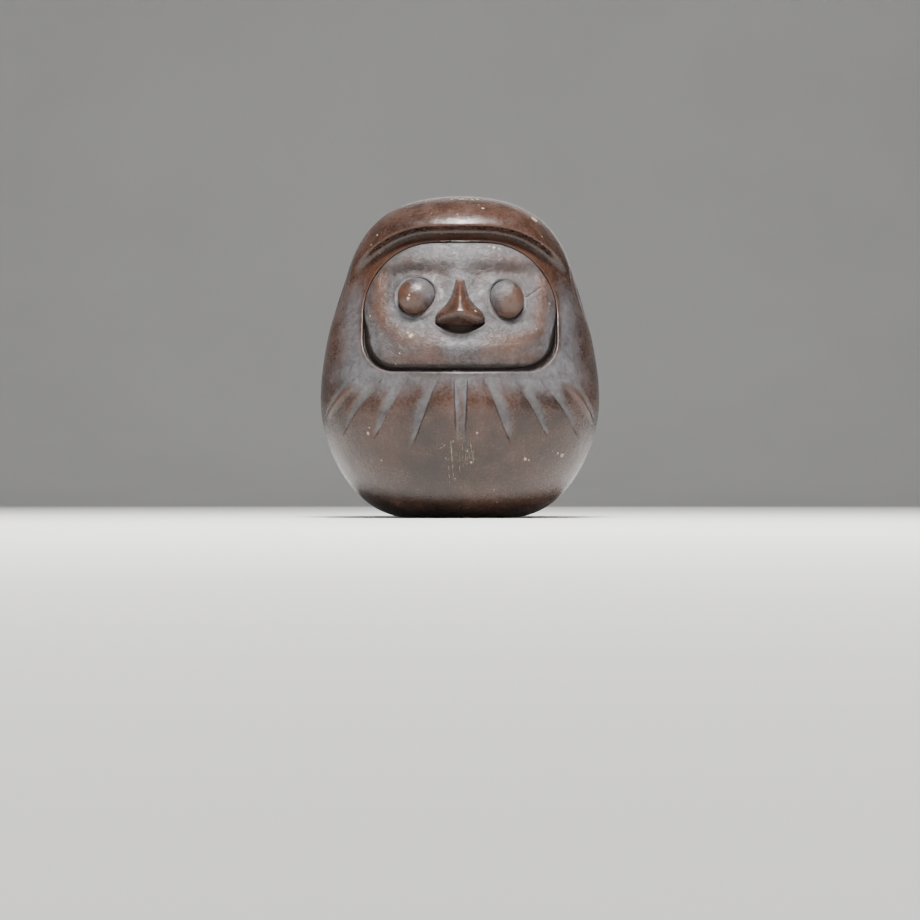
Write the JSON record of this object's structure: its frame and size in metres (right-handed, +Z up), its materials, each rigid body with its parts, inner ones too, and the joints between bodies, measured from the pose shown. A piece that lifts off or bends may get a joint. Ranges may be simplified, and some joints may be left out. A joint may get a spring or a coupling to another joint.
{
  "type": "daruma doll",
  "caption": "Round-bottomed seated doll with a rolled hood lip, a face set in a rounded opening, ball eyes, a wedge nose and pleats below the collar.",
  "frame": {"origin": "centre of the flat foot, on the ground", "axes": "+Z up to the crown, -Y out of the face, +X to the right of someone who looks at the face"},
  "size_m": [0.14, 0.1412, 0.161],
  "materials": {
    "lacquered_shell": "satin",
    "lacquered_face": "satin",
    "lacquered_eye": "satin",
    "lacquered_nose": "satin",
    "paper_strip": "matte",
    "bamboo": "satin",
    "clay": "matte",
    "base_wood": "matte",
    "base_paper": "matte"
  },
  "bodies": {
    "root": {"front_shell": "lacquered_shell", "back_shell": "lacquered_shell", "seam_band": "paper_strip", "face_panel": "lacquered_face", "left_eye": "lacquered_eye", "right_eye": "lacquered_eye", "left_eye_pin": "bamboo", "right_eye_pin": "bamboo", "nose": "lacquered_nose", "nose_pin": "bamboo", "base_weight": "clay", "base_disc": "base_wood", "base_cover": "base_paper", "base_nails": "bamboo"}
  },
  "joints": []
}
